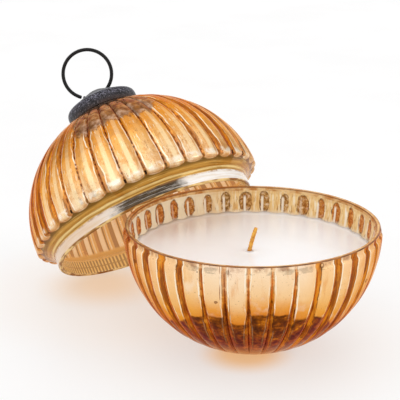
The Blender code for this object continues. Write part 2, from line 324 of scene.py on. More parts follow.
class Ribbed(Look):
    """A look for ribbed glass, with the piece's own coordinates in millimetres.

    turn counts ribs round the piece and run is the distance along the outline in millimetres.
    rib and groove number the nearest rib and groove. across goes from -1 to 1 over a rib, and
    crest is 0 in a groove and 1 on a crest.
    """

    def __init__(self, name):
        super().__init__(name)
        self.place = self.attribute("place")
        self.x, self.y, self.z = self.place.split()
        self.turn, self.run, _ = self.attribute("rib").split()
        self.rib = self.math("ROUND", self.turn)
        self.groove = self.math("FLOOR", self.turn)
        self.across = (self.turn - self.rib) * 2.0
        self.crest = 1.0 - abs(self.across)

    def cloud(self, scale, detail=3.0, rough=0.55):
        """Noise that is the same in all directions, with scale counted per millimetre."""
        return self.noise(self.place, scale, detail, rough)

    def streaks(self, per_rib, per_mm, detail=3.0, rough=0.55):
        """Noise that is drawn out along the ribs."""
        along = self.join(self.turn * per_rib, self.run * per_mm, 0.0)
        return self.noise(along, 1.0, detail, rough)

    def radius(self):
        """The distance from the piece's own axis."""
        return self.math("SQRT", self.x * self.x + self.y * self.y)

    def facing(self, angle):
        """1 on the side that looks along this angle round the piece's axis, -1 on the far side."""
        return (self.x * math.cos(angle) + self.y * math.sin(angle)) / self.radius()


# Mesh helpers


def ease(value):
    """0 to 1 as value goes from 0 to 1, level at both ends."""
    value = np.clip(value, 0.0, 1.0)
    return value * value * (3.0 - 2.0 * value)


def round_end(value):
    """A quarter circle's rise from 0 to 1 as value goes from 0 to 1."""
    value = np.clip(value, 0.0, 1.0)
    return np.sqrt(1.0 - (1.0 - value) ** 2)


def rib_columns():
    """Turn values round a piece, counted in ribs. A rib's middle is a whole number, and the
    columns crowd towards the grooves, half way between."""
    steps = np.arange(-RIB_SAMPLES // 2, RIB_SAMPLES // 2)
    offsets = 0.5 * np.sin(math.pi * steps / RIB_SAMPLES)
    return (np.arange(RIB_COUNT)[:, None] + offsets[None, :]).ravel()


def plain_columns(count):
    """Evenly spaced turn values, counted in ribs."""
    return np.arange(count) * RIB_COUNT / count


def across_rib(turns):
    """-1 to 1 across each rib, from groove to groove."""
    return 2.0 * (turns - np.round(turns))


def lobe(across):
    """The convex section of a rib: 1 on its crest, falling steeply into a narrow groove."""
    return (1.0 - np.minimum(np.abs(across), 1.0) ** 3.0) ** 0.6


def flute_section(across, width):
    """The soft section of a flute: 1 along its middle, 0 beyond its width."""
    return np.clip(1.0 - (across / width) ** 2, 0.0, 1.0) ** 0.8


def arc(radius, rise, centre_z, start, end, steps):
    """An upright ellipse's outline as arrays of radius and height."""
    angle = np.linspace(start, end, steps + 1)
    return radius * np.cos(angle), centre_z + rise * np.sin(angle)


def line(start, end, steps):
    """A straight outline from one (radius, height) to another."""
    part = np.linspace(0.0, 1.0, steps + 1)
    return start[0] + (end[0] - start[0]) * part, start[1] + (end[1] - start[1]) * part


def s_curve(start, end, steps):
    """An S-shaped outline that leaves and arrives straight up or down."""
    part = np.linspace(0.0, 1.0, steps + 1)
    swell = 0.5 * (1.0 - np.cos(math.pi * part))
    return start[0] + (end[0] - start[0]) * swell, start[1] + (end[1] - start[1]) * part


def outline(**parts):
    """Joins the parts of an outline. Gives radii, heights and the name of each point's part."""
    radii, heights, names = [], [], []
    for name, (part_radii, part_heights) in parts.items():
        for radius, height in zip(part_radii, part_heights):
            if radii and math.hypot(radius - radii[-1], height - heights[-1]) < 1e-6:
                continue
            radii.append(radius)
            heights.append(height)
            names.append(name)
    return np.array(radii), np.array(heights), np.array(names)


def outline_normals(radii, heights):
    """Unit normals to the right of an outline, which is outwards where it runs up outside."""
    along_r, along_z = np.gradient(radii), np.gradient(heights)
    length = np.hypot(along_r, along_z)
    return along_z / length, -along_r / length


def turned_mesh(name, radius, height, turns, rib_turn, place, wrap=False, shift=None):
    """A turned piece from arrays of (rows, columns). A wrapped outline makes a ring, and the
    other kind closes on the axis at both ends. place carries the piece's own frame to the
    world, and shift moves each row along the piece's own X.

    The mesh keeps two attributes: place, its own coordinates in millimetres, and rib, whose x
    counts ribs round the piece and whose y is the distance along the outline in millimetres.
    """
    rows, columns = radius.shape
    shift = np.zeros(rows) if shift is None else shift
    angle = 2.0 * math.pi * turns / RIB_COUNT + rib_turn
    own = np.stack([radius * np.cos(angle) + shift[:, None], radius * np.sin(angle), height], -1)
    steps = np.hypot(np.diff(radius.mean(axis=1)), np.diff(height.mean(axis=1)))
    run = np.concatenate([[0.0], np.cumsum(steps)]) / MM
    closing = np.linalg.norm(own[0] - own[-1], axis=1).mean() / MM

    row = np.arange(rows if wrap else rows - 1)[:, None]
    column = np.arange(columns)[None, :]
    beside = (column + 1) % columns
    low, high = row * columns, (row + 1) % rows * columns
    quads = np.stack([low + column, low + beside, high + beside, high + column], -1)
    here, there = turns[None, :], (turns[beside] + RIB_COUNT * (beside == 0))
    low_run, high_run = run[row], np.append(run, run[-1] + closing)[row + 1]
    grid = quads.shape[:2]
    corner_turns = np.stack([np.broadcast_to(t, grid) for t in (here, there, there, here)], -1)
    run_corners = (low_run, low_run, high_run, high_run)
    corner_runs = np.stack([np.broadcast_to(r, grid) for r in run_corners], -1)
    faces = quads.reshape(-1, 4).tolist()
    corner_turns, corner_runs = corner_turns.ravel(), corner_runs.ravel()
    points = own.reshape(-1, 3)

    if not wrap:
        for end_row, order in ((0, [1, 0]), (rows - 1, [0, 1])):
            pole = len(points)
            points = np.vstack([points, [shift[end_row], 0.0, height[end_row].mean()]])
            pairs = np.column_stack([column[0], beside[0]])[:, order] + end_row * columns
            faces += [(first, second, pole) for first, second in pairs.tolist()]
            pair_turns = np.column_stack([here[0], there[0]])
            fan_turns = np.column_stack([pair_turns[:, order], pair_turns.mean(axis=1)])
            corner_turns = np.append(corner_turns, fan_turns.ravel())
            corner_runs = np.append(corner_runs, np.full(fan_turns.size, run[end_row]))

    matrix = np.array(place)
    mesh = bpy.data.meshes.new(name)
    mesh.from_pydata((points @ matrix[:3, :3].T + matrix[:3, 3]).tolist(), [], faces)
    stored = mesh.attributes.new("place", "FLOAT_VECTOR", "POINT")
    stored.data.foreach_set("vector", (points / MM).astype(np.float32).ravel())
    stored = mesh.attributes.new("rib", "FLOAT_VECTOR", "CORNER")
    corners = np.column_stack([corner_turns, corner_runs, np.zeros(len(corner_runs))])
    stored.data.foreach_set("vector", corners.astype(np.float32).ravel())
    mesh.shade_smooth()
    return mesh


def set_slots(mesh, columns, names, slots):
    """Gives the faces after each outline row the material slot of the row's part."""
    rows = [slots[name] for name in names]
    wrapped = len(mesh.polygons) == len(rows) * columns
    if not wrapped:
        rows = rows[:-1] + [rows[0], rows[-1]]
    mesh.polygons.foreach_set("material_index", np.repeat(rows, columns).astype(np.int32))


def tube_mesh(name, path, radii, sides, first_side):
    """A closed round tube along a path of points, with flat ends."""
    path = np.asarray(path)
    along = np.gradient(path, axis=0)
    along /= np.linalg.norm(along, axis=1)[:, None]
    side = np.asarray(first_side, float)
    points = []
    angle = 2.0 * math.pi * np.arange(sides) / sides
    for centre, direction, radius in zip(path, along, radii):
        side = side - side.dot(direction) * direction
        side /= np.linalg.norm(side)
        other = np.cross(direction, side)
        ring = np.outer(np.cos(angle), side) + np.outer(np.sin(angle), other)
        points.append(centre + radius * ring)
    rows = len(path)
    row = np.arange(rows - 1)[:, None] * sides
    column = np.arange(sides)[None, :]
    beside = (column + 1) % sides
    quads = np.stack([row + column, row + beside, row + sides + beside, row + sides + column], -1)
    faces = quads.reshape(-1, 4).tolist()
    points = np.concatenate(points)
    last = (rows - 1) * sides
    faces.append(list(range(sides))[::-1])
    faces.append(list(range(last, last + sides)))
    mesh = bpy.data.meshes.new(name)
    mesh.from_pydata(points.tolist(), [], faces)
    mesh.shade_smooth()
    return mesh


def add_piece(name, mesh, materials, body, slot, *nodes):
    """Links a new piece, which rides on a CAD body and stands for CAD nodes."""
    piece = bpy.data.objects.new(name, mesh)
    bpy.context.scene.collection.objects.link(piece)
    for material in materials:
        mesh.materials.append(material)
    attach(piece, body)
    if nodes:
        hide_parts(*nodes)
    return piece


# Places, from the frame


def surface_centre(node):
    """The area-weighted middle of a CAD node's surface, which is on its axis if it is turned."""
    mesh = frame["nodes"][node].data
    mesh.calc_loop_triangles()
    points = np.array([vertex.co for vertex in mesh.vertices])
    corners = points[np.array([triangle.vertices for triangle in mesh.loop_triangles])]
    cross = np.cross(corners[:, 1] - corners[:, 0], corners[:, 2] - corners[:, 0])
    area = np.linalg.norm(cross, axis=1)
    return Vector((corners.mean(axis=1) * area[:, None]).sum(axis=0) / area.sum())


def lid_place():
    """The lid's own frame in the world: origin at the centre of its lip, +Z up to the cap."""
    middle = surface_centre("lid_glass")
    axis = (surface_centre("cap_cement") - middle).normalized()
    across = Vector((0.0, 0.0, 1.0)).cross(axis).normalized()
    downhill = across.cross(axis)
    lid_points = [vertex.co for vertex in frame["nodes"]["lid_glass"].data.vertices]
    lip_level = min(point.dot(axis) for point in lid_points)
    place = Matrix((downhill, across, axis)).transposed().to_4x4()
    place.translation = middle + (lip_level - middle.dot(axis)) * axis
    return place


def ring_place():
    """The ring's centre and its two directions: along the hinge, and away from it."""
    hinge = next(joint for joint in frame["joints"] if joint["name"] == "ring_swing")
    pivot, along = Vector(hinge["pos_m"]), Vector(hinge["axis"]).normalized()
    away = surface_centre("hanging_ring") - pivot
    away = (away - away.dot(along) * along).normalized()
    drop = math.sqrt(RING_CENTRE_RADIUS**2 - RING_HALF_CHORD**2)
    return pivot + drop * away, along, away


# Bowl


def build_bowl(materials):
    """The bowl: ribbed outside and fluted inside, with a cut rim and a ring foot."""
    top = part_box("bowl_glass")[1].z
    centre = top - BOWL_CENTRE_DROP
    inner = BOWL_RADIUS - BOWL_WALL
    foot_angle = math.asin(-centre / BOWL_RADIUS)
    foot_radius = BOWL_RADIUS * math.cos(foot_angle)
    outer_top = math.asin((top - RIM_BAND - centre) / BOWL_RADIUS)
    inner_top = math.asin((top - RIM_BAND - centre) / inner)
    inner_low = math.asin((BOWL_FLOOR - centre) / inner)
    rim_inner = RIM_RADIUS - RIM_WALL
    punt = np.linspace(AXIS_GAP, foot_radius - FOOT_RING, 9)
    punt_height = PUNT_DEPTH * (1.0 - (punt / punt[-1]) ** 2) ** 2
    edge = np.linspace(0.0, 0.5 * math.pi, 6)
    falling = RIM_ROUND * (1.0 - np.cos(edge))
    rising = RIM_ROUND * (1.0 - np.sin(edge))
    radii, heights, names = outline(
        foot=(punt, punt_height),
        outside=arc(BOWL_RADIUS, BOWL_RADIUS, centre, foot_angle, outer_top, 64),
        rim_out=(RIM_RADIUS - falling, top - rising),
        rim_in=(rim_inner + rising, top - falling),
        inside=arc(inner, inner, centre, inner_top, inner_low, 54),
        floor=line((inner * math.cos(inner_low), BOWL_FLOOR), (AXIS_GAP, BOWL_FLOOR), 4),
    )
    turns = rib_columns()
    across = across_rib(turns)
    normal_r, normal_z = outline_normals(radii, heights)
    under_rim = top - RIM_BAND - heights

    closing = (under_rim[:, None] - 0.5 * MM * across**2) / (1.7 * MM)
    foot_fade = ease(heights / (9.0 * MM))[:, None]
    swell = RIB_DEPTH * lobe(across) * round_end(closing) - RIB_SINK
    swell *= foot_fade * np.where(under_rim < 0.0, ease(1.0 + under_rim / RIM_BAND), 1.0)[:, None]
    swell[~np.isin(names, ["outside", "rim_out"])] = 0.0

    width = FLUTE_WIDTH * round_end((under_rim - FLUTE_START) / FLUTE_END) + 1e-6
    dip = FLUTE_DEPTH * ease((heights - BOWL_FLOOR) / (10.0 * MM))
    dip[names != "inside"] = 0.0
    swell -= dip[:, None] * flute_section(across, width[:, None])

    radius = radii[:, None] + normal_r[:, None] * swell
    height = heights[:, None] + normal_z[:, None] * swell
    mesh = turned_mesh("bowl_shell", radius, height, turns, BOWL_RIB_TURN, Matrix())
    slots = {"foot": 0, "outside": 0, "rim_out": 1, "rim_in": 1, "inside": 2, "floor": 2}
    set_slots(mesh, len(turns), names, slots)
    return add_piece("bowl_shell", mesh, materials, "bowl", "amber_glass", "bowl_glass")


def build_wax(material):
    """The wax: a low meniscus at the glass, and a recess under it round the wick's tab."""
    glass_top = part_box("bowl_glass")[1].z
    centre = glass_top - BOWL_CENTRE_DROP
    top = glass_top - WAX_DROP
    tab_low, tab_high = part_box("wick_sustainer")
    wick_x = 0.5 * (tab_low.x + tab_high.x)
    tab_radius = 0.5 * (tab_high.x - tab_low.x) + 0.3 * MM
    bore = WICK_RADIUS + 0.2 * MM
    low = BOWL_FLOOR + 0.3 * MM
    plate = tab_low.z + 0.9 * MM
    radius = BOWL_RADIUS - BOWL_WALL - WAX_GAP
    low_angle = math.asin((low - centre) / radius)
    edge_angle = math.asin((top + MENISCUS - centre) / radius)
    edge_radius = radius * math.cos(edge_angle)
    face = np.linspace(edge_radius, bore, 40)
    climb = MENISCUS * np.exp(-(edge_radius - face) / (1.1 * MM))
    dimple = -0.35 * MM * np.exp(-(((face - bore) / (7.0 * MM)) ** 2))
    collar = 0.5 * MM * np.exp(-(face - bore) / (0.7 * MM))
    radii, heights, names = outline(
        under=line((tab_radius, low), (radius * math.cos(low_angle), low), 6),
        side=arc(radius, radius, centre, low_angle, edge_angle, 50),
        face=(face, top + climb + dimple + collar),
        bore=line((bore, top), (bore, tab_high.z + 0.3 * MM), 8),
        collar=line((bore, tab_high.z + 0.3 * MM), (2.6 * MM, tab_high.z + 0.3 * MM), 2),
        sleeve=line((2.6 * MM, tab_high.z + 0.3 * MM), (2.6 * MM, plate + 0.5 * MM), 2),
        plate=line((3.1 * MM, plate), (tab_radius, plate), 3),
        wall=line((tab_radius, plate), (tab_radius, low + 0.2 * MM), 2),
    )
    shift = np.where(names == "side", 0.0, wick_x)
    shift[names == "face"] = wick_x * ease((edge_radius - face[1:]) / edge_radius)
    shift[names == "under"] = np.linspace(wick_x, 0.0, (names == "under").sum())
    turns = rib_columns()
    across = across_rib(turns)
    normal_r, normal_z = outline_normals(radii, heights)
    swell = FLUTE_DEPTH * ease((heights - BOWL_FLOOR) / (10.0 * MM))
    swell[~np.isin(names, ["side", "face"])] = 0.0
    near_edge = np.where(names == "face", ease((radii - edge_radius + 3.0 * MM) / (3.0 * MM)), 1.0)
    swell = (swell * near_edge)[:, None] * flute_section(across, FLUTE_WIDTH)
    outwards = np.where(names == "side", normal_r, 1.0)[:, None]
    radius = radii[:, None] + outwards * swell
    height = heights[:, None] + np.where(names == "side", normal_z, 0.0)[:, None] * swell
    mesh = turned_mesh("wax_body", radius, height, turns, BOWL_RIB_TURN, Matrix(), True, shift)
    return add_piece("wax_body", mesh, [material], "bowl", "candle_wax", "wax_fill")


def build_wick(material):
    """Three waxed strands twisted round the wick's path, which leans over above the wax."""
    low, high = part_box("wick")
    start = Vector((low.x + WICK_RADIUS, 0.0, low.z))
    end_x = high.x - WICK_RADIUS
    wax_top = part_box("bowl_glass")[1].z - WAX_DROP
    tip = high.z - STRAND_RADIUS
    count = 150
    heights = np.linspace(low.z, tip, count)
    lean = np.clip((heights - wax_top) / (high.z - wax_top), 0.0, 1.0) ** 1.2
    path = np.column_stack([start.x + (end_x - start.x) * lean, np.zeros(count), heights])
    pieces = []
    for strand in range(3):
        angle = 2.0 * math.pi * ((heights - low.z) / STRAND_PITCH + strand / 3.0)
        reach = STRAND_REACH * (1.0 - 0.35 * ease((heights - tip + 2.0 * MM) / (2.0 * MM)))
        helix = path + np.column_stack([reach * np.cos(angle), reach * np.sin(angle), 0.0 * angle])
        thick = STRAND_RADIUS * np.sqrt(np.clip((tip + 0.3 * MM - heights) / (0.5 * MM), 0.1, 1.0))
        mesh = tube_mesh("wick_strand", helix, thick, 12, (0.0, 1.0, 0.0))
        name = f"wick_strand_{strand + 1}"
        pieces.append(add_piece(name, mesh, [material], "bowl", "waxed_cotton", "wick"))
    return pieces


# Lid


def build_lid(materials, place):
    """The lid: lip, plain collar, smooth shoulder and a ribbed dome up to its neck."""
    inner = DOME_RADIUS - DOME_WALL
    collar_inner = COLLAR_RADIUS - COLLAR_WALL
    neck_inner = NECK_RADIUS - NECK_WALL
    middle = COLLAR_RADIUS - 0.5 * COLLAR_WALL
    bend_z = COLLAR_HEIGHT + SHOULDER_WALL_RISE
    half_turn = np.linspace(0.0, 0.5 * math.pi, 6)
    lip_z = LIP_ROUND * (1.0 - np.cos(half_turn))
    lip_r = 0.5 * COLLAR_WALL * np.sin(half_turn)
    radii, heights, names = outline(
        lip_out=(middle + lip_r, lip_z),
        collar=line((COLLAR_RADIUS, LIP_ROUND), (COLLAR_RADIUS, COLLAR_HEIGHT), 3),
        band=s_curve((COLLAR_RADIUS, COLLAR_HEIGHT), (DOME_RADIUS, DOME_CENTRE_Z), 28),
        dome=arc(DOME_RADIUS, DOME_RISE, DOME_CENTRE_Z, 0.0,
                 math.acos((NECK_RADIUS + 0.4 * MM) / DOME_RADIUS), 64),
        neck=line((NECK_RADIUS, DOME_CENTRE_Z + DOME_RISE), (NECK_RADIUS, NECK_TOP_Z), 4),
        mouth=line((NECK_RADIUS - 0.3 * MM, NECK_TOP_Z), (neck_inner + 0.3 * MM, NECK_TOP_Z), 2),
        hollow=arc(inner, DOME_RISE - DOME_WALL, DOME_CENTRE_Z,
                   math.acos(neck_inner / inner), 0.0, 42),
        bend=s_curve((inner, DOME_CENTRE_Z), (collar_inner, bend_z), 10),
        inner_collar=line((collar_inner, bend_z), (collar_inner, LIP_ROUND), 3),
        lip_in=(middle - lip_r[::-1], lip_z[::-1]),
    )
    turns = rib_columns()
    across = across_rib(turns)
    normal_r, normal_z = outline_normals(radii, heights)

    scallop = SCALLOP_Z + SCALLOP_RISE * np.abs(across) ** 2.4
    closing = round_end((heights[:, None] - scallop[None, :]) / SCALLOP_ROUND)
    swell = RIB_DEPTH * lobe(across) * closing - RIB_SINK
    shoulder_fade = ease((heights - COLLAR_HEIGHT) / (2.2 * MM))
    swell *= (shoulder_fade * ease((radii - NECK_RADIUS) / (7.0 * MM)))[:, None]
    swell[~np.isin(names, ["band", "dome"])] = 0.0

    start = ease((heights - DOME_CENTRE_Z) / (2.0 * MM)) * ease((radii - neck_inner) / (8.0 * MM))
    dip = np.where(names == "hollow", FLUTE_DEPTH * start, 0.0)
    swell -= dip[:, None] * flute_section(across, LID_FLUTE_WIDTH)

    radius = radii[:, None] + normal_r[:, None] * swell
    height = heights[:, None] + normal_z[:, None] * swell
    mesh = turned_mesh("lid_shell", radius, height, turns, LID_RIB_TURN, place, wrap=True)
    slots = {"lip_out": 0, "collar": 0, "band": 0, "dome": 0, "neck": 0, "mouth": 0}
    slots.update({"hollow": 1, "bend": 1, "inner_collar": 1, "lip_in": 0})
    set_slots(mesh, len(turns), names, slots)
    return add_piece("lid_shell", mesh, materials, "lid", "amber_glass", "lid_glass")


def cap_slope_z(radius):
    """The height of the cap's outer face on the slope between its shoulder and its crown."""
    low_radius, low_z = CAP_RADIUS - CAP_ROUND, CAP_SHOULDER_Z + CAP_ROUND_RISE
    part = (low_radius - radius) / (low_radius - CAP_CROWN_RADIUS)
    return low_z + part * (CAP_CROWN_Z - low_z)


def slot_cutter(middle, along, up):
    """A round-ended block, long in the direction of the ring's hinge."""
    half_run = 0.5 * (SLOT_LENGTH - SLOT_WIDTH)
    across = up.cross(along)
    turn = np.linspace(-0.5 * math.pi, 0.5 * math.pi, 17)
    end_x = half_run + 0.5 * SLOT_WIDTH * np.cos(turn)
    end_y = 0.5 * SLOT_WIDTH * np.sin(turn)
    outline_x = np.concatenate([end_x, -end_x]).tolist()
    outline_y = np.concatenate([end_y, -end_y]).tolist()
    count = len(outline_x)
    low = [middle + x * along + y * across - SLOT_DEPTH * up for x, y in zip(outline_x, outline_y)]
    high = [point + 1.4 * SLOT_DEPTH * up for point in low]
    sides = [(i, (i + 1) % count, (i + 1) % count + count, i + count) for i in range(count)]
    caps = [tuple(reversed(range(count))), tuple(range(count, 2 * count))]
    mesh = bpy.data.meshes.new("slot")
    mesh.from_pydata(low + high, [], sides + caps)
    return mesh


def cut_slots(mesh, place, along):
    """The cap's mesh with its two slots, marked again with its own coordinates."""
    up = place.col[2].to_3d()
    whole = bpy.data.objects.new("whole_cap", mesh)
    bpy.context.scene.collection.objects.link(whole)
    cutters = []
    for side in (-1.0, 1.0):
        middle = place @ Vector((0.0, 0.0, CAP_CROWN_Z)) + side * RING_HALF_CHORD * along
        cutters.append(bpy.data.objects.new("slot", slot_cutter(middle, along, up)))
        bpy.context.scene.collection.objects.link(cutters[-1])
        modifier = whole.modifiers.new("slot", "BOOLEAN")
        modifier.operation = "DIFFERENCE"
        modifier.object = cutters[-1]
    graph = bpy.context.evaluated_depsgraph_get()
    slotted = bpy.data.meshes.new_from_object(whole.evaluated_get(graph))
    for helper in [whole] + cutters:
        bpy.data.objects.remove(helper)
    own = place.inverted()
    for name in ("place", "rib"):
        if name in slotted.attributes:
            slotted.attributes.remove(slotted.attributes[name])
    stored = slotted.attributes.new("place", "FLOAT_VECTOR", "POINT")
    for vertex, item in zip(slotted.vertices, stored.data):
        item.vector = own @ vertex.co / MM
    slotted.materials.clear()
    slotted.shade_smooth()
    slotted.set_sharp_from_angle(angle=math.radians(40.0))
    return slotted


def build_cap(material, place, ring_along):
    """The pressed cap, with a rolled lower edge and two slots for the ring."""
    turn = np.linspace(0.0, 0.5 * math.pi, 8)
    bevel = CAP_ROUND * (1.0 - np.cos(turn))
    top_radius = CAP_RADIUS - 0.1 * MM
    slope_low = (CAP_RADIUS - CAP_ROUND, CAP_SHOULDER_Z + CAP_ROUND_RISE)
    slope_end = CAP_CROWN_RADIUS + 0.9 * MM
    inner_top = CAP_CROWN_Z - CAP_SHEET
    hem_top = CAP_BASE_Z + 0.3 * MM
    radii, heights, _ = outline(
        inner_crown=line((AXIS_GAP, inner_top), (CAP_CROWN_RADIUS, inner_top), 3),
        inner_slope=line((CAP_CROWN_RADIUS, inner_top),
                         (slope_low[0] - CAP_SHEET, slope_low[1] - CAP_SHEET), 8),
        inner_skirt=line((top_radius - CAP_SHEET, CAP_SHOULDER_Z - CAP_SHEET),
                         (CAP_RADIUS - CAP_SHEET, hem_top), 4),
        hem=([CAP_RADIUS - 0.5 * CAP_SHEET], [CAP_BASE_Z]),
        skirt=line((CAP_RADIUS, hem_top), (top_radius, CAP_SHOULDER_Z), 10),
        shoulder=(top_radius - 0.9 * bevel, CAP_SHOULDER_Z + CAP_ROUND_RISE * np.sin(turn)),
        slope=line(slope_low, (slope_end, cap_slope_z(slope_end)), 16),
        crown=line((CAP_CROWN_RADIUS - 0.4 * MM, CAP_CROWN_Z), (AXIS_GAP, CAP_CROWN_Z), 4),
    )
    turns = plain_columns(144)
    radius = np.repeat(radii[:, None], len(turns), axis=1)
    height = np.repeat(heights[:, None], len(turns), axis=1)
    mesh = turned_mesh("cap_body", radius, height, turns, 0.0, place)
    mesh = cut_slots(mesh, place, ring_along)
    return add_piece("cap_body", mesh, [material], "lid", "dark_zinc", "cap_shell")


def build_ring(material):
    """The split wire ring, with its two ends cut square and slightly rounded. Between the slots
    the wire dips out of its circle, so that it clears the crown at both ends of its swing."""
    centre, along, away = ring_place()
    half_gap = 0.5 * RING_SPLIT / RING_RADIUS
    start = -0.5 * math.pi - RING_SPLIT_ANGLE + half_gap
    angle = np.linspace(start, start + 2.0 * math.pi - 2.0 * half_gap, 161)
    from_lowest = np.abs(angle + 0.5 * math.pi)
    dip = RING_DIP * ease((RING_DIP_START - from_lowest) / (RING_DIP_START - RING_DIP_FULL))
    path = np.array(centre) + (RING_RADIUS + dip)[:, None] * (
        np.outer(np.cos(angle), np.array(along)) + np.outer(np.sin(angle), np.array(away)))
    radii = np.full(len(path), WIRE_RADIUS)
    radii[[0, -1]] *= 0.75
    mesh = tube_mesh("ring_wire", path, radii, 20, along.cross(away))
    return add_piece("ring_wire", mesh, [material], "ring", "black_iron", "hanging_ring")


# Glass


def glass_finish(tree, colour, metallic=0.85, roughness=0.13):
    """Silvered glass under a clear coat, with the slow ripple of blown glass."""
    ripple = tree.cloud(0.14, 1.5)
    fine = tree.cloud(0.6, 2.0)
    grain = tree.cloud(1.6, 3.0, 0.6)
    rough = grain.ramp(0.25, 0.8, roughness - 0.05, roughness + 0.12)
    height = fine * 0.16 + ripple
    normal = tree.bump(height, 0.8, 0.6 * MM)
    tree.shader.inputs["Specular Tint"].default_value = srgb(236, 164, 72)
    tree.shader.inputs["Specular IOR Level"].default_value = 0.25
    return tree.finish(Base_Color=colour, Metallic=metallic, Roughness=rough, Normal=normal,
                       Coat_Weight=0.14, Coat_Roughness=0.04, Coat_IOR=1.35)


def speckles(tree, colour, dark, amount):
    """Small gaps in the silvering, gathered in patches."""
    fine = tree.cloud(1.3, 2.0, 0.7).ramp(0.66, 0.7)
    patch = tree.cloud(0.13, 2.0).ramp(0.46, 0.6)
    return colour.mix(fine * patch * amount, dark)


def groove_band(tree, colour, crest, half, groove, share, gleam):
    """The amber band along a groove: uneven edges, streaks, and broken glints beside it."""
    streak = tree.streaks(5.0, 0.07, 3.0)
    blots = tree.streaks(3.0, 0.2, 4.0, 0.6)
    inside = half - 0.1 + blots * 0.2 - crest
    band = tree.mix(groove[1], srgb(226, 136, 24), srgb(190, 102, 12))
    band = band.mix(blots.ramp(0.48, 0.76, 0.0, 0.75), srgb(244, 166, 60))
    core = inside.ramp(0.06, 0.2) * streak.ramp(0.6, 0.44)
    band = band.mix(core * 0.9, srgb(132, 58, 8))
    edge = inside.near(0.03, 0.03, 0.03) * blots.ramp(0.6, 0.46)
    band = band.mix(edge * 0.95, srgb(92, 38, 6))
    colour = colour.mix(inside.ramp(-0.03, 0.04) * share, band)
    glint = inside.near(-0.09, 0.035, 0.04) * streak.ramp(0.42, 0.54)
    return colour.mix(glint * gleam, srgb(255, 242, 218))


def bowl_outside():
    """Peach lobes, amber grooves and, round the base, a painted dark reflection of the shaded floor
    with a jagged edge.
    """
    tree = Ribbed("bowl_outside")
    rib = tree.random(tree.rib, 1.0)
    groove = tree.random(tree.groove, 2.0)
    wander = tree.cloud(0.11, 3.0)
    streak = tree.streaks(3.0, 0.09, 3.0)
    towards = tree.y / tree.radius()
    front = towards.ramp(-0.8, -0.98)
    crest = tree.crest - 0.11 + tree.cloud(0.07, 2.0) * 0.22

    # Painted reflection: the dark lower zone stands for the shaded floor that the silvered base
    # reflects. Its edge climbs along the grooves, varies per rib and rises towards the front.
    climb = crest.ramp(0.34, 0.08, 0.0, 7.0)
    level = towards.ramp(-0.62, -0.92, 12.0, 22.0) + climb + rib[0] * 4.5 + wander * 5.0
    over = tree.z - level
    upper = over.stops(0.0, 24.0, (0.0, srgb(222, 130, 34)), (0.14, srgb(236, 160, 68)),
                       (0.36, srgb(248, 204, 148)), (0.75, srgb(252, 222, 184)),
                       (1.0, srgb(251, 220, 190)))
    upper = upper.mix(front.ramp(1.0, 0.25, 0.0, 0.5), srgb(246, 182, 84))
    upper = upper.mix(streak.ramp(0.52, 0.78, 0.0, 0.55), srgb(226, 152, 76))
    upper = upper.mix(wander.ramp(0.55, 0.75, 0.0, 0.5), srgb(253, 236, 214))
    mottle = tree.cloud(0.34, 4.0, 0.65)
    lower = mottle.stops(0.28, 0.74, (0.0, srgb(58, 24, 0)), (0.4, srgb(104, 50, 2)),
                         (0.7, srgb(156, 82, 6)), (1.0, srgb(226, 140, 34)))
    # Painted light: a brighter orange near the foot, for the floor's light caught under the bowl.
    lower = lower.mix(tree.z.ramp(13.0, 5.0, 0.0, 0.7), srgb(204, 124, 2))
    colour = lower.mix(over.ramp(-0.5, 0.6), upper)

    half = groove[0] * 0.15 + towards.ramp(-0.76, -0.96, 0.36, 0.08)
    half += tree.z.ramp(34.0, 12.0, 0.0, 0.24)
    gaps = tree.streaks(2.0, 0.35, 2.0).ramp(0.34, 0.5)
    solid = towards.ramp(-0.86, -0.97, 1.0, 0.3)
    share = tree.math("MAXIMUM", gaps * 0.9, solid)
    share *= towards.ramp(-0.93, -0.99, 0.95, 0.7)
    gleam = over.ramp(-1.0, 3.0, 0.12, 0.85)
    colour = groove_band(tree, colour, crest, half, groove, share, gleam)

    second = crest.near(0.37, 0.03, 0.02) * groove[2].ramp(0.5, 0.55)
    colour = colour.mix(second * streak.ramp(0.42, 0.55, 0.0, 0.8), srgb(158, 88, 32))

    distance, picked = tree.cells(tree.place, 0.16)
    ring = distance.near(0.12, 0.03, 0.015) * picked.split()[0].ramp(0.8, 0.82, 0.0, 0.7)
    colour = colour.mix(ring, srgb(120, 66, 26))
    colour = speckles(tree, colour, srgb(122, 66, 26), 0.75)

    lobe_end = tree.z.ramp(46.0, 47.0) * tree.crest.ramp(0.25, 0.8, 0.0, 0.8)
    lobe_end *= mottle.ramp(0.36, 0.56) * rib[1].ramp(0.3, 0.7, 0.2, 0.9)
    colour = colour.mix(lobe_end, srgb(160, 108, 74))
    return glass_finish(tree, colour, tree.z.ramp(15.0, 6.0, 0.85, 0.3))


def bowl_rim():
    """The cut rim: gold glass with mauve-brown edges."""
    tree = Ribbed("bowl_rim")
    mottle = tree.cloud(0.3, 3.0, 0.6)
    gold = tree.mix(mottle.ramp(0.35, 0.65), srgb(206, 150, 88), srgb(246, 214, 160))
    radius = tree.radius()
    edge = (abs(radius - 48.8) + mottle * 0.5).ramp(0.75, 0.95) * tree.z.ramp(47.7, 48.1)
    colour = gold.mix(edge * 0.85, srgb(140, 86, 50))
    outer = radius.ramp(48.8, 49.2) * tree.y.ramp(4.0, -8.0, 0.35, 1.0)
    spot = tree.crest.ramp(0.1, 0.9) * mottle.ramp(0.3, 0.6)
    mauve = tree.mix(spot, srgb(158, 102, 62), srgb(92, 58, 48))
    colour = colour.mix(outer * 0.9, mauve)
    return glass_finish(tree, colour, 0.5, 0.14)


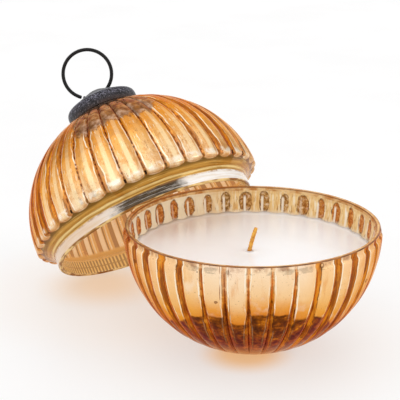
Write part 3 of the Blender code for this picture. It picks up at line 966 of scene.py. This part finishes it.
def bowl_inside():
    """A gold wall with painted highlight streaks. Each flute shows as an uneven oval with its own
    mottled grey-brown fill and a painted highlight streak.
    """
    tree = Ribbed("bowl_inside")
    flute = tree.random(tree.rib, 5.0)
    other = tree.random(tree.rib, 6.0)
    side = abs(tree.x).ramp(14.0, 34.0)
    wander = tree.cloud(0.45, 3.0, 0.6)
    across = tree.across - 0.34 + wander * 0.44 + other[0] * 0.24
    wide = flute[0] * 0.26 + 0.4
    level = tree.z - 42.0
    reach = level / (other[1] * 0.8 + 3.7)
    oval = abs(across / wide) ** 2.4 + abs(reach) ** 2.4
    streak = tree.streaks(7.0, 0.12, 3.0, 0.6)
    # Vertical streaks from gold to cream; the cream ones are painted highlights.
    wall = streak.stops(0.3, 0.7, (0.0, srgb(228, 176, 104)), (0.5, srgb(250, 218, 158)),
                        (1.0, srgb(255, 248, 226)))
    drip = tree.streaks(11.0, 0.25, 3.0, 0.6)
    wall = wall.mix(drip.ramp(0.56, 0.66, 0.0, 0.7), srgb(166, 116, 58))
    wall = wall.mix(tree.z.ramp(45.0, 46.0, 0.0, 0.5), srgb(230, 190, 128))
    wall = wall.mix(tree.x.ramp(-8.0, -28.0, 0.0, 0.8), srgb(255, 248, 224))
    smear = tree.streaks(5.0, 0.55, 4.0, 0.7)
    grey = smear.stops(0.3, 0.68, (0.0, srgb(74, 50, 26)), (0.35, srgb(142, 104, 58)),
                       (0.6, srgb(200, 160, 96)), (1.0, srgb(252, 238, 212)))
    blotch = tree.cloud(0.7, 4.0, 0.7)
    rust = blotch.stops(0.3, 0.7, (0.0, srgb(112, 50, 8)), (0.45, srgb(196, 104, 26)),
                        (1.0, srgb(250, 196, 110)))
    inner = grey.mix(flute[1] * 0.3 + side * 0.85, rust)
    colour = wall.mix(oval.ramp(1.1, 0.8), inner)
    edge = oval.near(0.95, 0.14, 0.16) * streak.ramp(0.35, 0.6, 0.1, 0.85)
    colour = colour.mix(edge, srgb(120, 76, 34))
    # Painted highlight: a bright streak down each flute.
    lit_at = other[2] * 0.5 + 0.1
    lit = (tree.across - lit_at).near(0.0, 0.07, 0.09)
    lit *= tree.z.ramp(45.0, 43.5)
    colour = colour.mix(lit * flute[2].ramp(0.2, 0.7, 0.3, 0.95), srgb(255, 246, 228))
    # Painted reflection: the wall turns cream just above the wax, as it reflects the wax.
    wax_reflection = (streak * 3.0 + tree.z).ramp(40.4, 38.4, 0.0, 0.9)
    colour = colour.mix(wax_reflection, srgb(255, 242, 222))
    return glass_finish(tree, colour, 0.25, 0.14)


def lid_outside():
    """Amber ribs with scalloped ends, over the ochre shoulder, the silver collar and the lip."""
    tree = Ribbed("lid_outside")
    rib = tree.random(tree.rib, 11.0)
    groove = tree.random(tree.groove, 12.0)
    mottle = tree.cloud(0.3, 4.0, 0.6)
    streak = tree.streaks(3.0, 0.08, 3.0)
    bend = tree.streaks(0.9, 0.055, 2.0) * 1.2 - 0.6
    crest = tree.crest + bend
    away = tree.facing(LID_FRONT).ramp(0.95, 0.55)
    side = tree.facing(LID_FRONT - 0.5 * math.pi)

    lobe = tree.z.stops(8.0, 44.0, (0.0, srgb(250, 224, 188)), (0.25, srgb(244, 202, 148)),
                        (0.5, srgb(240, 180, 104)), (0.72, srgb(230, 152, 58)),
                        (1.0, srgb(216, 134, 46)))
    orange = tree.mix(mottle, srgb(222, 118, 14), srgb(252, 186, 72))
    lobe = lobe.mix(away * 0.6, orange)
    lobe = lobe.mix(side.ramp(-0.84, -0.95, 0.0, 0.95), srgb(255, 240, 204))
    patches = tree.cloud(0.2, 4.0, 0.7).ramp(0.48, 0.6, 0.0, 0.6)
    lobe = lobe.mix(patches, srgb(214, 148, 78))
    # Fine streaks along the ribs: the dark ones are lines in the glass, and the pale ones are
    # painted highlights.
    fine_line_and_highlight_streaks = tree.streaks(12.0, 0.22, 3.0, 0.6)
    lobe = lobe.mix(fine_line_and_highlight_streaks.ramp(0.6, 0.66, 0.0, 0.5), srgb(150, 92, 44))
    lobe = lobe.mix(fine_line_and_highlight_streaks.ramp(0.4, 0.34, 0.0, 0.6), srgb(255, 244, 220))
    shaded = tree.across.ramp(0.1, 0.7, 0.0, 0.45) * rib[2].ramp(0.2, 0.7)
    lobe = lobe.mix(shaded, srgb(206, 140, 66))
    lobe = lobe.mix(streak.ramp(0.5, 0.74, 0.0, 0.6), srgb(220, 146, 62))
    # Painted highlight: a pale streak down each lobe, strongest low on the dome.
    pale = tree.across.near(0.15, 0.16, 0.14) * rib[0].ramp(0.15, 0.6, 0.15, 0.8)
    lobe = lobe.mix(pale * tree.z.ramp(46.0, 18.0, 0.25, 0.75), srgb(253, 228, 180))

    half = groove[0] * 0.26 + away * 0.4 + 0.02
    share = (away * 0.3 + 0.65) * side.ramp(-0.9, -0.97, 1.0, 0.45)
    colour = groove_band(tree, lobe, crest, half, groove, share, 0.85)
    seam = tree.crest.near(0.0, 0.07, 0.05) * away.ramp(0.0, 1.0, 0.9, 0.45)
    gaps = tree.streaks(2.0, 0.5, 3.0).ramp(0.44, 0.56, 0.1, 0.85)
    colour = colour.mix(seam * gaps, srgb(112, 56, 14))

    # Painted reflection: a dark mauve-brown zone round the cap, reaching furthest down on the side
    # towards the camera, with a darker line along its edge.
    stained = tree.facing(LID_DARK_REFLECTION) + mottle * 0.06
    top_edge = streak * 9.0 + 31.5 + rib[1] * 3.0 + stained.ramp(0.97, 0.8, 0.0, 20.0)
    dark_reflection_mask = (tree.z - top_edge).ramp(-0.5, 2.0)
    brown = mottle.ramp(0.3, 0.7).stops(0.0, 1.0, (0.0, srgb(98, 68, 52)),
                                        (0.5, srgb(148, 114, 94)), (1.0, srgb(198, 166, 144)))
    frost = tree.z.ramp(53.4, 54.6) * tree.crest.ramp(0.25, 0.7)
    brown = brown.mix(frost * mottle.ramp(0.36, 0.56), srgb(220, 200, 178))
    edge_line = (tree.z - top_edge).near(0.3, 0.15, 0.5)
    colour = colour.mix(dark_reflection_mask * streak.ramp(0.3, 0.65, 0.8, 1.0), brown)
    colour = colour.mix(edge_line * mottle.ramp(0.4, 0.6, 0.0, 0.7), srgb(126, 74, 40))
    colour = speckles(tree, colour, srgb(104, 54, 20), 0.8)

    scallop = abs(tree.across) ** 2.4 * 0.8 + 8.4
    above = tree.z - scallop
    blurred = above.ramp(3.4, 0.6) * mottle.ramp(0.38, 0.54)
    colour = colour.mix(blurred * 0.6, srgb(214, 158, 88))
    # Painted highlight: cream patches at the lobes' scalloped ends.
    tip = above.near(2.4, 0.4, 1.6) * tree.crest.ramp(0.2, 0.5)
    tip *= mottle.ramp(0.4, 0.56, 0.0, 0.8)
    colour = colour.mix(tip, srgb(255, 244, 224))
    # Painted shade: dark dots in the pockets where the grooves end between the lobe ends.
    groove_end_shade = tree.crest.near(0.0, 0.09, 0.05) * tree.z.near(10.1, 0.6, 0.4)
    colour = colour.mix(groove_end_shade * groove[2].ramp(0.3, 0.6, 0.3, 1.0), srgb(44, 22, 10))

    # The shoulder's tone bands: the brightest, near its middle, is a painted highlight, and the
    # dark top under the lobe ends is painted shade.
    level = tree.z - 0.3 + tree.streaks(0.5, 0.5, 3.0) * 1.1
    shoulder = level.stops(4.6, 9.6, (0.0, srgb(140, 92, 40)), (0.1, srgb(228, 184, 100)),
                           (0.22, srgb(174, 122, 46)), (0.38, srgb(250, 220, 150)),
                           (0.48, srgb(178, 124, 46)), (0.66, srgb(212, 160, 74)),
                           (0.8, srgb(136, 98, 34)), (1.0, srgb(104, 70, 26)))
    circling_streaks = tree.streaks(0.5, 1.3, 5.0, 0.7)
    # Dark streaks run round the shoulder; the pale streaks are painted highlights.
    shoulder = shoulder.mix(circling_streaks.ramp(0.5, 0.64, 0.0, 0.6), srgb(118, 82, 24))
    shoulder = shoulder.mix(circling_streaks.ramp(0.42, 0.34, 0.0, 0.6), srgb(252, 228, 152))
    silver = tree.mix(circling_streaks.ramp(0.34, 0.62), srgb(240, 228, 212), srgb(255, 254, 252))
    silver = silver.mix(side.ramp(0.1, 0.6, 0.0, 0.5), srgb(222, 170, 100))
    # Painted reflection: a dark patch on the mirror-like silver collar, on the side towards the
    # camera.
    collar_dark_reflection = (circling_streaks * 0.1 + stained).ramp(1.0, 1.055)
    collar_dark_reflection *= circling_streaks.ramp(0.3, 0.5, 0.35, 1.0)
    reflected_dark_tone = tree.mix(circling_streaks.ramp(0.42, 0.68), srgb(24, 18, 14), srgb(116, 100, 80))
    silver = silver.mix(collar_dark_reflection, reflected_dark_tone)
    # Brownish patches along the collar's top, just under the shoulder.
    collar_top_patches = tree.z.ramp(3.9, 4.8) * mottle.ramp(0.4, 0.55)
    silver = silver.mix(collar_top_patches * 0.7, srgb(160, 112, 66))
    low = silver.mix(level.ramp(4.8, 5.3), shoulder)
    dull = tree.streaks(1.0, 0.5, 2.0)
    lip = tree.mix(dull.ramp(0.4, 0.6), srgb(150, 98, 44), srgb(240, 206, 140))
    low = low.mix(tree.z.ramp(1.0, 0.7), lip)
    colour = low.mix(above.ramp(0.0, 0.4), colour)
    shine = tree.z.ramp(4.5, 5.5, 0.2, 0.85) * above.ramp(0.4, 2.6, 0.4, 1.0)
    return glass_finish(tree, colour, shine)


def lid_inside():
    """The dome's inside with painted highlights down the flutes and a faint painted glow, the ochre
    shoulder and the finely reeded collar.
    """
    tree = Ribbed("lid_inside")
    rib = tree.random(tree.rib, 21.0)
    mottle = tree.cloud(0.3, 4.0, 0.6)
    wall = tree.mix(mottle, srgb(204, 150, 78), srgb(255, 222, 152))
    brown = tree.mix(rib[1], srgb(126, 68, 34), srgb(190, 120, 56))
    # The white bands are painted highlights down the flutes.
    bands = ((0.62, 0.2, 0.08, brown), (0.0, 0.24, 0.06, srgb(255, 253, 248)),
             (-0.42, 0.06, 0.04, srgb(126, 74, 36)), (0.36, 0.03, 0.03, srgb(132, 80, 34)),
             (-0.75, 0.06, 0.05, srgb(255, 250, 236)))
    for centre, half, soft, shade in bands:
        wall = wall.mix(tree.across.near(centre, half, soft), shade)
    ochre = tree.z.stops(6.0, 12.0, (0.0, srgb(226, 184, 92)), (0.4, srgb(192, 144, 46)),
                         (0.8, srgb(222, 178, 84)), (1.0, srgb(236, 200, 124)))
    colour = ochre.mix(tree.z.ramp(10.8, 12.4), wall)
    reeds = tree.math("SINE", tree.turn * (8.0 * math.pi))
    reeding = tree.mix(reeds.ramp(-0.6, 0.8), srgb(122, 80, 24), srgb(238, 208, 132))
    reeding = reeding.mix(tree.z.near(3.4, 0.15, 0.15), srgb(150, 106, 44))
    colour = reeding.mix(tree.z.ramp(6.1, 6.7), colour)
    colour = speckles(tree, colour, srgb(120, 72, 34), 0.6)
    # Painted light: a faint warm glow stands for the light that comes in through the glass.
    tree.shader.inputs["Emission Color"].default_value = srgb(236, 190, 126)
    tree.shader.inputs["Emission Strength"].default_value = 0.26
    height = reeds * tree.z.ramp(6.6, 6.0)
    normal = tree.bump(height + mottle, 0.8, 0.12 * MM)
    return tree.finish(Base_Color=colour, Metallic=0.3, Roughness=mottle.ramp(0.2, 0.8, 0.14, 0.3),
                       Normal=normal, Coat_Weight=1.0, Coat_Roughness=0.05)


# Candle and fittings


def candle_wax():
    """Smooth milky wax, a little waxy at its surface."""
    tree = Look("candle_wax")
    place = tree.attribute("place")
    cloud = tree.noise(place, 0.05, 3.0)
    fine = tree.noise(place, 0.3, 3.0)
    colour = tree.mix(cloud, srgb(244, 241, 241), srgb(249, 248, 248))
    tree.shader.inputs["Subsurface Weight"].default_value = 0.05
    tree.shader.inputs["Subsurface Radius"].default_value = (1.0, 0.8, 0.65)
    tree.shader.inputs["Subsurface Scale"].default_value = 3.0 * MM
    ripple = tree.noise(place, 0.1, 1.5)
    return tree.finish(Base_Color=colour, Roughness=fine.ramp(0.3, 0.7, 0.2, 0.23),
                       Normal=tree.bump(ripple, 0.15, 0.3 * MM))


def waxed_cotton():
    """Cotton strands soaked unevenly with amber wax."""
    tree = Look("waxed_cotton")
    point = tree.millimetres()
    soaked = tree.noise(point, 0.9, 3.0)
    fibre = tree.noise(tree.scaled(point, 5.0, 5.0, 0.8), 1.0, 3.0)
    colour = tree.mix(soaked.ramp(0.35, 0.65), srgb(206, 126, 22), srgb(246, 184, 66))
    colour = colour.mix(fibre.ramp(0.5, 0.7, 0.0, 0.6), srgb(250, 214, 130))
    return tree.finish(Base_Color=colour, Roughness=soaked.ramp(0.3, 0.7, 0.35, 0.65),
                       Normal=tree.bump(fibre, 0.8, 0.1 * MM))


def metal(name, dark, light, worn, scale, metallic, low_rough, high_rough, grain):
    """A mottled metal: two tones in clouds, small worn flecks, and a fine grain."""
    tree = Look(name)
    point = tree.millimetres()
    cloud = tree.noise(point, scale, 5.0, 0.65)
    fleck = tree.noise(point, scale * 5.0, 4.0, 0.7)
    colour = tree.mix(cloud.ramp(0.32, 0.68), dark, light)
    colour = colour.mix(fleck.ramp(0.56, 0.7, 0.0, 0.8), worn)
    rough = cloud.ramp(0.3, 0.7, low_rough, high_rough)
    return tree.finish(Base_Color=colour, Metallic=metallic, Roughness=rough,
                       Normal=tree.bump(fleck, 0.7, grain))


def porous(name, dark, light, scale, grain):
    """A dull cast or foamed material with small pores."""
    tree = Look(name)
    point = tree.millimetres()
    cloud = tree.noise(point, scale, 4.0, 0.6)
    pores, _ = tree.cells(point, scale * 4.0)
    colour = tree.mix(cloud, dark, light)
    return tree.finish(Base_Color=colour, Roughness=cloud.ramp(0.3, 0.7, 0.75, 0.95),
                       Normal=tree.bump(pores, 0.8, grain))


def dark_zinc():
    """The oxidised cap: near black under the crown, speckled, with a painted highlight band of
    bluish flecks on the lower slope.
    """
    tree = Look("dark_zinc")
    place = tree.attribute("place")
    z = place.split()[2]
    cloud = tree.noise(place, 0.35, 5.0, 0.65)
    fleck = tree.noise(place, 1.6, 5.0, 0.75)
    colour = tree.mix(cloud.ramp(0.32, 0.68), srgb(14, 12, 13), srgb(54, 50, 54))
    colour = colour.mix((cloud * 2.0 + z).ramp(65.0, 67.0, 0.0, 0.8), srgb(22, 20, 21))
    crown = tree.mix(cloud, srgb(78, 74, 74), srgb(146, 142, 142))
    colour = colour.mix(z.ramp(68.5, 68.9), crown)
    # Painted highlight: a band along the lower slope, broken into bluish flecks.
    colour = colour.mix(z.near(62.6, 1.6, 1.8) * fleck.ramp(0.5, 0.6), srgb(132, 134, 154))
    colour = colour.mix(fleck.ramp(0.56, 0.61, 0.0, 0.75), srgb(146, 138, 142))
    rust = z.ramp(59.5, 57.4) * cloud.ramp(0.4, 0.6, 0.2, 0.8)
    colour = colour.mix(rust, srgb(70, 50, 40))
    height = fleck * 0.5 + cloud
    return tree.finish(Base_Color=colour, Metallic=0.6, Roughness=fleck.ramp(0.3, 0.7, 0.3, 0.6),
                       Normal=tree.bump(height, 0.9, 0.35 * MM))


def black_iron():
    """The ring's blackened iron wire."""
    return metal("black_iron", srgb(6, 5, 5), srgb(18, 15, 14), srgb(70, 62, 58),
                 0.7, 0.5, 0.32, 0.5, 0.04 * MM)


def tinplate():
    """The wick tab's bright tin."""
    return metal("tinplate", srgb(150, 152, 154), srgb(196, 198, 200), srgb(226, 226, 228),
                 0.6, 1.0, 0.22, 0.4, 0.02 * MM)


# Stage


def add_light(name, place, target, size, power):
    """A square soft light that looks at target."""
    data = bpy.data.lights.new(name, "AREA")
    data.shape = "SQUARE"
    data.size = size
    data.energy = power
    light = bpy.data.objects.new(name, data)
    bpy.context.scene.collection.objects.link(light)
    light.location = place
    light.rotation_euler = (Vector(target) - Vector(place)).to_track_quat("-Z", "Y").to_euler()


def pool(x, y, shape):
    """1 in the middle of a pool of light on the floor, fading to 0 at its edge."""
    (centre_x, centre_y), inner, outer = shape
    away_x, away_y = x - centre_x, y - centre_y
    away = x.tree.math("SQRT", away_x * away_x + away_y * away_y)
    return away.ramp(inner, outer, 1.0, 0.0)


def build_floor():
    """A pale glowing floor, warmed where the glass throws its colour on it."""
    side = FLOOR_HALF_SIDE
    mesh = bpy.data.meshes.new("floor")
    corners = [(-side, -side, 0.0), (side, -side, 0.0), (side, side, 0.0), (-side, side, 0.0)]
    mesh.from_pydata(corners, [], [(0, 1, 2, 3)])
    floor = bpy.data.objects.new("floor", mesh)
    bpy.context.scene.collection.objects.link(floor)
    tree = Look("floor")
    point = tree.millimetres()
    tone = tree.noise(point, 0.01, 3.0)
    x, y, _ = point.split()
    glow = pool(x, y, BOWL_GLOW) + pool(x, y, LID_GLOW)
    light = tree.mix(glow * 0.3, (0.96, 0.955, 0.955, 1.0), (1.0, 0.86, 0.74, 1.0))
    contact = pool(x, y, LID_CONTACT) * 0.5 + pool(x, y, BOWL_CONTACT) * 0.8
    light = light.mix(contact, (1.0, 0.54, 0.16, 1.0))
    tree.shader.inputs["Emission Strength"].default_value = FLOOR_EMISSION
    colour = tree.mix(tone, srgb(148, 148, 148), srgb(152, 152, 152))
    mesh.materials.append(tree.finish(Base_Color=colour, Emission_Color=light,
                                      Roughness=tone.ramp(0.3, 0.7, 0.5, 0.7)))


def build_world():
    """A bright studio dome, with a darker flag at each side of the camera."""
    world = bpy.data.worlds.new("studio")
    bpy.context.scene.world = world
    world.use_nodes = True
    tree = Tree(world.node_tree)
    x, _, z = tree.value("ShaderNodeTexCoord", output="Generated").split()
    levels = ((0.0, 1.0), (0.35, 1.0), (0.5, 0.64), (0.72, 0.6), (0.86, 1.0), (1.0, 1.05))
    greys = [(position, (level, level, level, 1.0)) for position, level in levels]
    sides = abs(x).stops(0.0, 1.0, *greys)
    dome = sides.mix(z.ramp(0.35, 0.75), (1.05, 1.05, 1.05, 1.0))
    back = tree.nodes["Background"]
    tree.plug(back.inputs["Color"], dome)
    back.inputs["Strength"].default_value = 1.0


def build_camera():
    """The camera that fits the photo."""
    data = bpy.data.cameras.new("camera")
    data.lens = CAMERA_LENS
    data.sensor_width = 36.0
    camera = bpy.data.objects.new("camera", data)
    bpy.context.scene.collection.objects.link(camera)
    turn = Matrix.Rotation(CAMERA_TURN, 4, "Z")
    turn = turn @ Matrix.Rotation(0.5 * math.pi - CAMERA_DOWN, 4, "X")
    turn = turn @ Matrix.Rotation(CAMERA_ROLL, 4, "Z")
    camera.matrix_world = Matrix.Translation((0.0, -CAMERA_BACK, CAMERA_HEIGHT)) @ turn
    bpy.context.scene.camera = camera


def dress(node, material):
    """Gives a carried-over CAD node its finished material."""
    mesh = frame["nodes"][node]
    for slot in mesh.material_slots:
        slot.material = material


def main():
    """Builds the pieces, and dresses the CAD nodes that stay."""
    bpy.context.scene.view_settings.view_transform = "Standard"
    build_camera()
    build_world()
    build_floor()
    add_light("key", (-0.5, -0.3, 0.8), (0.0, 0.0, 0.03), 1.0, 1.1)
    add_light("fill", (0.7, -0.25, 0.5), (0.0, 0.0, 0.03), 0.4, 0.9)

    build_bowl([bowl_outside(), bowl_rim(), bowl_inside()])
    build_wax(candle_wax())
    build_wick(waxed_cotton())
    dress("wick_sustainer", tinplate())
    foam = porous("foam_pad", srgb(214, 212, 206), srgb(236, 234, 228), 0.8, 0.2 * MM)
    dress("sustainer_pad", foam)

    place = lid_place()
    _, along, _ = ring_place()
    build_lid([lid_outside(), lid_inside()], place)
    build_cap(dark_zinc(), place, along)
    dress("cap_cement", porous("cement", srgb(150, 142, 130), srgb(192, 184, 170), 0.5, 0.3 * MM))
    build_ring(black_iron())


main()
